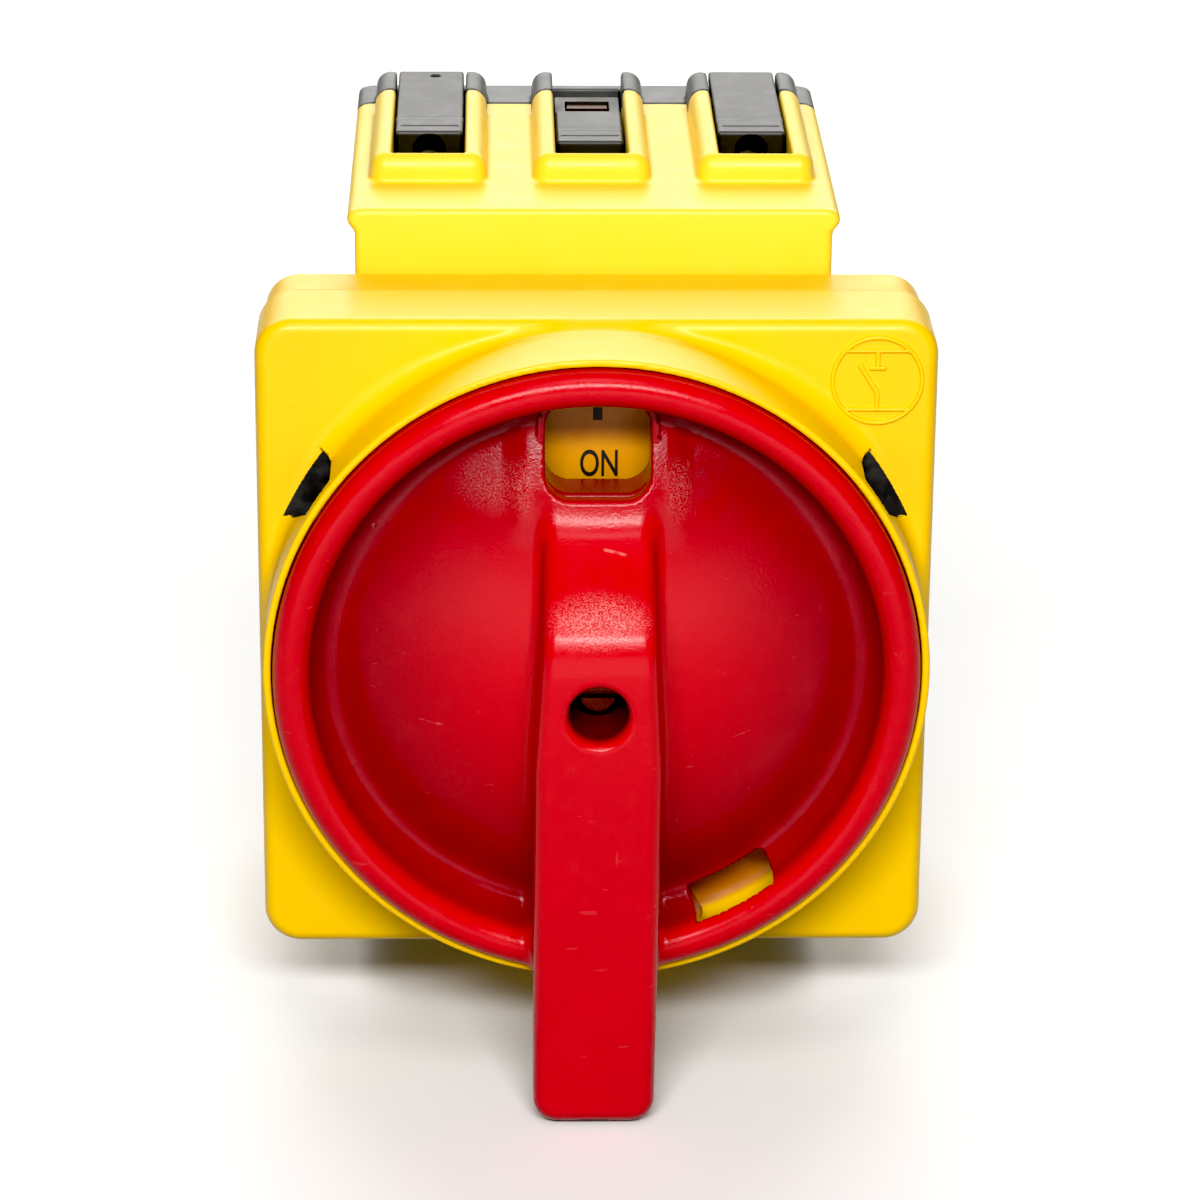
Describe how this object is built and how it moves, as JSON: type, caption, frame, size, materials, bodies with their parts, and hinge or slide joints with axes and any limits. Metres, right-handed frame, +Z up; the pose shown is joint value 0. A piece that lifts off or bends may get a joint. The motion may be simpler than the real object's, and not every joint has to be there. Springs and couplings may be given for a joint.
{
  "type": "rotary isolator switch",
  "caption": "Padlockable rotary isolator: a round lever handle in a collar on a square front plate, with a pole-type switch body and terminal cover behind it.",
  "frame": {"origin": "centre of the whole switch's bounding box in X and Y, at the level of the lower terminal bosses it stands on; the drive shaft's axis lies 59.2 mm above it", "axes": "+X to the right as the handle's user sees it, +Y to the rear along the drive shaft, +Z up towards the upper terminals"},
  "size_m": [0.09, 0.114, 0.1162],
  "materials": {
    "yellow_plastic": "moulded, semi-gloss signal yellow",
    "red_plastic": "moulded, semi-gloss signal red with fine scuffs",
    "gray_plastic": "moulded, satin dark grey",
    "black_plastic": "moulded, satin black",
    "rubber": "matt black",
    "zinc_steel": "bright zinc plated",
    "spring_steel": "bright drawn wire and strip",
    "copper": "bare copper with silvered contact pads"
  },
  "bodies": {
    "root": {"front_plate": "yellow_plastic", "rear_frame": "yellow_plastic", "terminal_cover": "yellow_plastic", "switch_base": "gray_plastic", "terminal_shield_top_l": "gray_plastic", "terminal_shield_top_m": "gray_plastic", "terminal_shield_top_r": "gray_plastic", "terminal_shield_bottom_l": "gray_plastic", "terminal_shield_bottom_m": "gray_plastic", "terminal_shield_bottom_r": "gray_plastic", "contact_chamber": "black_plastic", "mechanism_housing": "black_plastic", "panel_gasket": "rubber", "handle_seal": "rubber", "plate_screw_1": "zinc_steel", "plate_screw_2": "zinc_steel", "plate_screw_3": "zinc_steel", "plate_screw_4": "zinc_steel", "housing_screw_1": "zinc_steel", "housing_screw_2": "zinc_steel", "housing_screw_3": "zinc_steel", "housing_screw_4": "zinc_steel", "terminal_clamp_top_l": "zinc_steel", "terminal_clamp_top_m": "zinc_steel", "terminal_clamp_top_r": "zinc_steel", "terminal_clamp_bottom_l": "zinc_steel", "terminal_clamp_bottom_m": "zinc_steel", "terminal_clamp_bottom_r": "zinc_steel", "terminal_screw_top_l": "zinc_steel", "terminal_screw_top_m": "zinc_steel", "terminal_screw_top_r": "zinc_steel", "terminal_screw_bottom_l": "zinc_steel", "terminal_screw_bottom_m": "zinc_steel", "terminal_screw_bottom_r": "zinc_steel", "detent_spring_l": "spring_steel", "detent_spring_r": "spring_steel", "fixed_contact_top_l": "copper", "fixed_contact_top_m": "copper", "fixed_contact_top_r": "copper", "fixed_contact_bottom_l": "copper", "fixed_contact_bottom_m": "copper", "fixed_contact_bottom_r": "copper"},
    "handle": {"rotary_handle": "red_plastic", "handle_screw": "zinc_steel", "drive_shaft": "zinc_steel", "detent_wheel": "black_plastic", "cam_drum": "black_plastic"},
    "carrier": {"contact_carrier": "black_plastic", "contact_spring_l": "spring_steel", "contact_spring_m": "spring_steel", "contact_spring_r": "spring_steel"},
    "bridge_l": {"contact_bridge_l": "copper"},
    "bridge_m": {"contact_bridge_m": "copper"},
    "bridge_r": {"contact_bridge_r": "copper"}
  },
  "joints": [
    {"name": "handle_turn", "type": "hinge", "parent": "root", "child": "handle", "pos_m": [0, -0.03, 0.0592], "axis": [0, -1, 0], "range_deg": [0, 90], "deforming": ["detent_spring_l", "detent_spring_r"]},
    {"name": "carrier_slide", "type": "slide", "parent": "root", "child": "carrier", "axis": [0, -1, 0], "range_m": [0, 0.0055]},
    {"name": "bridge_l_wipe", "type": "slide", "parent": "carrier", "child": "bridge_l", "axis": [0, -1, 0], "range_m": [0, 0.0012], "stiffness_N_per_m": 2000, "deforming": ["contact_spring_l"]},
    {"name": "bridge_m_wipe", "type": "slide", "parent": "carrier", "child": "bridge_m", "axis": [0, -1, 0], "range_m": [0, 0.0012], "stiffness_N_per_m": 2000, "deforming": ["contact_spring_m"]},
    {"name": "bridge_r_wipe", "type": "slide", "parent": "carrier", "child": "bridge_r", "axis": [0, -1, 0], "range_m": [0, 0.0012], "stiffness_N_per_m": 2000, "deforming": ["contact_spring_r"]}
  ],
  "couplings": [
    {"joint": "carrier_slide", "follows": "handle_turn", "m_per_rad": 0.003501}
  ]
}
